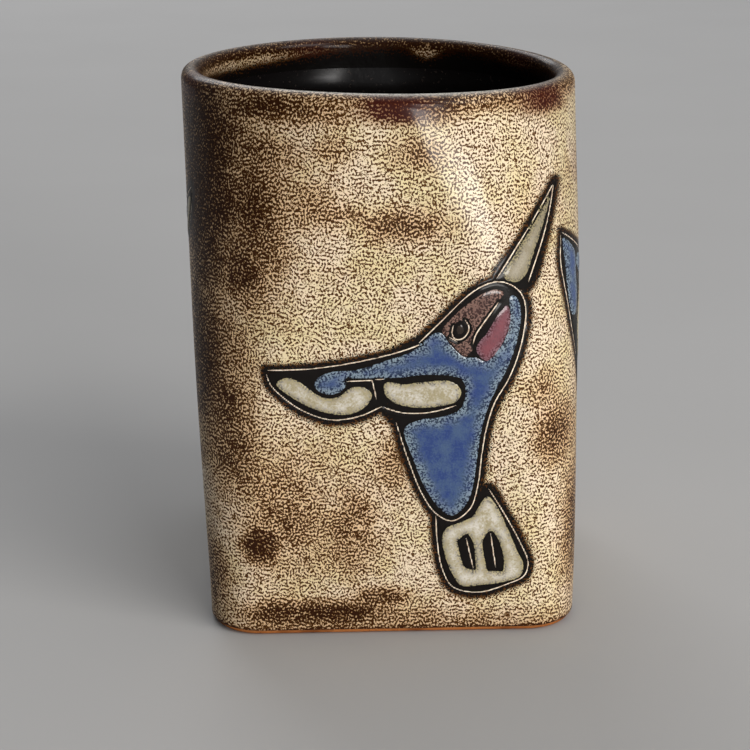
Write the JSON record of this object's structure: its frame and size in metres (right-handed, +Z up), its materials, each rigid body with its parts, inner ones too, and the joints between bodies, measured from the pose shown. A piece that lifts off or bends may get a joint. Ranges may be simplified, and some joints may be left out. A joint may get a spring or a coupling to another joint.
{
  "type": "engraved stoneware vase",
  "caption": "Straight-sided stoneware vase, rounded-square at the foot and round at the mouth, with an engraved and glazed bird on each face.",
  "frame": {"origin": "middle of the flat underside that the vase stands on", "axes": "+Z up along the vase, -Y out of the front face, +X to the right of the front face"},
  "size_m": [0.083, 0.083, 0.114],
  "materials": {
    "clay": "bare fired stoneware, matt and slightly gritty",
    "black_glaze": "glossy black",
    "iron_glaze": "glossy rust brown, speckled",
    "speckled_glaze": "glossy cream with fine dark brown speckle and brown clouds",
    "black_slip": "satin black slip with fine engraved lines",
    "blue_glaze": "satin-gloss cobalt blue, mottled",
    "cream_glaze": "glossy cream with olive edges",
    "plum_glaze": "glossy plum brown",
    "red_glaze": "satin-gloss brick red",
    "olive_glaze": "glossy olive brown"
  },
  "bodies": {
    "root": {"clay_wall": "clay", "clay_floor": "clay", "liner_glaze": "black_glaze", "rim_glaze": "iron_glaze", "speckle_glaze": "speckled_glaze", "front_slip": "black_slip", "front_body_glaze": "blue_glaze", "front_beak_glaze": "cream_glaze", "front_tail_glaze": "cream_glaze", "front_wing_tip_glaze": "cream_glaze", "front_wing_root_glaze": "cream_glaze", "front_crown_glaze": "plum_glaze", "front_cheek_glaze": "red_glaze", "front_eye_glaze": "olive_glaze", "right_slip": "black_slip", "right_body_glaze": "blue_glaze", "right_beak_glaze": "cream_glaze", "right_tail_glaze": "cream_glaze", "right_wing_tip_glaze": "blue_glaze", "right_wing_root_glaze": "cream_glaze", "right_crown_glaze": "plum_glaze", "right_cheek_glaze": "red_glaze", "right_eye_glaze": "olive_glaze", "back_slip": "black_slip", "back_body_glaze": "blue_glaze", "back_beak_glaze": "cream_glaze", "back_tail_glaze": "cream_glaze", "back_wing_tip_glaze": "cream_glaze", "back_wing_root_glaze": "cream_glaze", "back_crown_glaze": "plum_glaze", "back_cheek_glaze": "red_glaze", "back_eye_glaze": "olive_glaze", "left_slip": "black_slip", "left_body_glaze": "blue_glaze", "left_beak_glaze": "cream_glaze", "left_tail_glaze": "cream_glaze", "left_wing_tip_glaze": "cream_glaze", "left_wing_root_glaze": "cream_glaze", "left_crown_glaze": "plum_glaze", "left_cheek_glaze": "red_glaze", "left_eye_glaze": "olive_glaze"}
  },
  "joints": []
}
